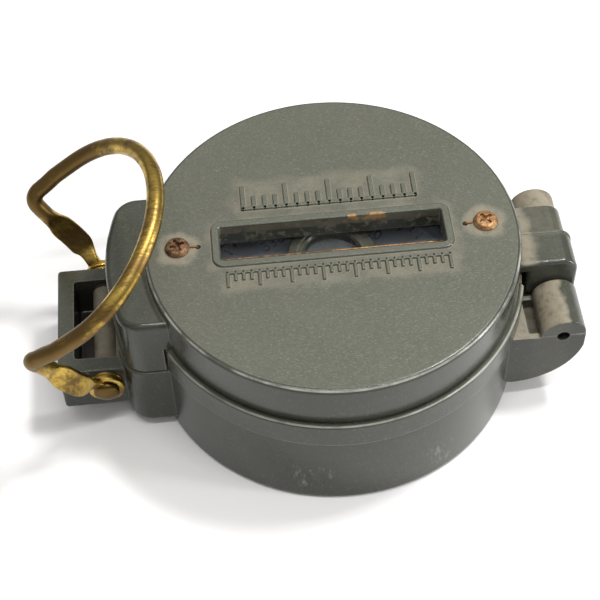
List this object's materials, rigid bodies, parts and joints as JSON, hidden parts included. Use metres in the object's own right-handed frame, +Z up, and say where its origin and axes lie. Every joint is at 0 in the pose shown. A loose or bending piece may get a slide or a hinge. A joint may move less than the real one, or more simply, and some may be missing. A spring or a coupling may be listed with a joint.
{
  "type": "sighting compass",
  "caption": "Pocket sighting compass: round case with hinged sight-slot lid, folding lens eyepiece, turning bezel, floating dial and brass thumb ring.",
  "frame": {"origin": "centre of the round case on the face it rests on", "axes": "+X towards the lid hinge, -X towards the eyepiece pivot and thumb ring, +Z up through the lid"},
  "size_m": [0.0789, 0.0548, 0.0397],
  "materials": {
    "olive_plastic": "semi-gloss moulded grey-green, scuffed, with tan dust in the corners",
    "dark_plastic": "darker green moulded plastic",
    "brass": "drawn brass, tarnished brown in places",
    "aged_copper": "rusty copper-brown",
    "steel": "plain steel",
    "aluminium": "turned aluminium",
    "magnet": "dull magnet steel",
    "rubber": "black rubber",
    "clear_glass": "clear",
    "dial_white": "white printed card",
    "luminous": "pale green luminous paint",
    "black_mark": "black printed line",
    "jewel": "red jewel"
  },
  "bodies": {
    "case": {"base_case": "olive_plastic", "hinge_pin": "steel", "pivot_pin": "brass", "ring_washers": "brass", "capsule_pad": "rubber", "capsule_cup": "steel", "capsule_gasket": "rubber", "capsule_glass": "clear_glass", "index_line": "black_mark", "pivot_post": "brass", "clamp_ring": "aluminium", "bezel_snap_ring": "steel", "click_spring": "brass"},
    "lid": {"lid_cover": "olive_plastic", "sight_wire": "aged_copper", "sight_screws": "aged_copper"},
    "eyepiece": {"eyepiece_arm": "dark_plastic", "eyepiece_lens": "clear_glass", "lens_ring": "dark_plastic"},
    "ring": {"thumb_ring": "brass"},
    "bezel": {"bezel_ring": "dark_plastic", "bezel_crystal": "clear_glass", "marching_line": "luminous"},
    "dial": {"dial_card": "dial_white", "north_arrow": "luminous", "dial_magnets": "magnet", "dial_hub": "brass", "dial_jewel": "jewel"}
  },
  "joints": [
    {"name": "lid_hinge", "type": "hinge", "parent": "case", "child": "lid", "pos_m": [0.0316, 0, 0.0146], "axis": [0, 1, 0], "range_deg": [0, 90]},
    {"name": "eyepiece_fold", "type": "hinge", "parent": "case", "child": "eyepiece", "pos_m": [-0.0338, 0, 0.0093], "axis": [0, -1, 0], "range_deg": [0, 54]},
    {"name": "ring_swing", "type": "hinge", "parent": "case", "child": "ring", "pos_m": [-0.0338, 0, 0.0093], "axis": [0, -1, 0], "range_deg": [0, 85.5]},
    {"name": "bezel_spin", "type": "hinge", "parent": "case", "child": "bezel", "pos_m": [0, 0, 0.0172], "axis": [0, 0, 1], "continuous": true},
    {"name": "dial_spin", "type": "hinge", "parent": "case", "child": "dial", "pos_m": [0, 0, 0.0091], "axis": [0, 0, 1], "continuous": true}
  ],
  "couplings": [
    {"joint": "eyepiece_fold", "follows": "lid_hinge", "ratio": 0.6},
    {"joint": "ring_swing", "follows": "lid_hinge", "ratio": 0.95}
  ]
}
